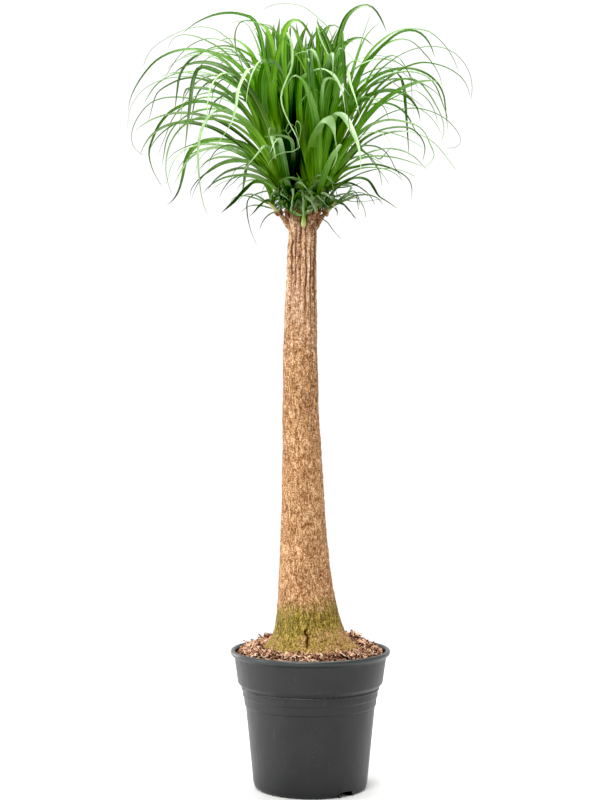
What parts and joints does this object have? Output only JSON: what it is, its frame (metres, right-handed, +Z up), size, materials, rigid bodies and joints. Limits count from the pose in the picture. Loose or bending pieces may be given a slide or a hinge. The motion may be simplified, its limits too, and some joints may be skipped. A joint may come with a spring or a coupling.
{
  "type": "potted ponytail palm",
  "caption": "Ponytail palm grown as a standard, with heads of long strap leaves on a bare corky stem with a flared foot, in a round nursery pot under bark mulch.",
  "frame": {"origin": "middle of the pot's flat base, on the ground", "axes": "+Z up along the pot's axis, -Y towards the viewer of the front, +X to the front's right"},
  "size_m": [0.6732, 0.6802, 1.524],
  "materials": {
    "nursery_pot": "satin",
    "potting_soil": "matte",
    "bark_mulch": "matte",
    "cork_bark": "matte",
    "leaf": "satin",
    "shoot_leaf": "satin",
    "young_leaf": "satin"
  },
  "bodies": {
    "root": {"pot": "nursery_pot", "potting_soil": "potting_soil", "bark_mulch": "bark_mulch", "stem": "cork_bark", "leaf_head_left": "leaf", "leaf_head_right": "leaf", "leaf_head_back_left": "leaf", "leaf_head_back_right": "leaf", "side_shoot_left": "shoot_leaf", "side_shoot_right": "shoot_leaf", "front_shoot": "young_leaf"}
  },
  "joints": []
}
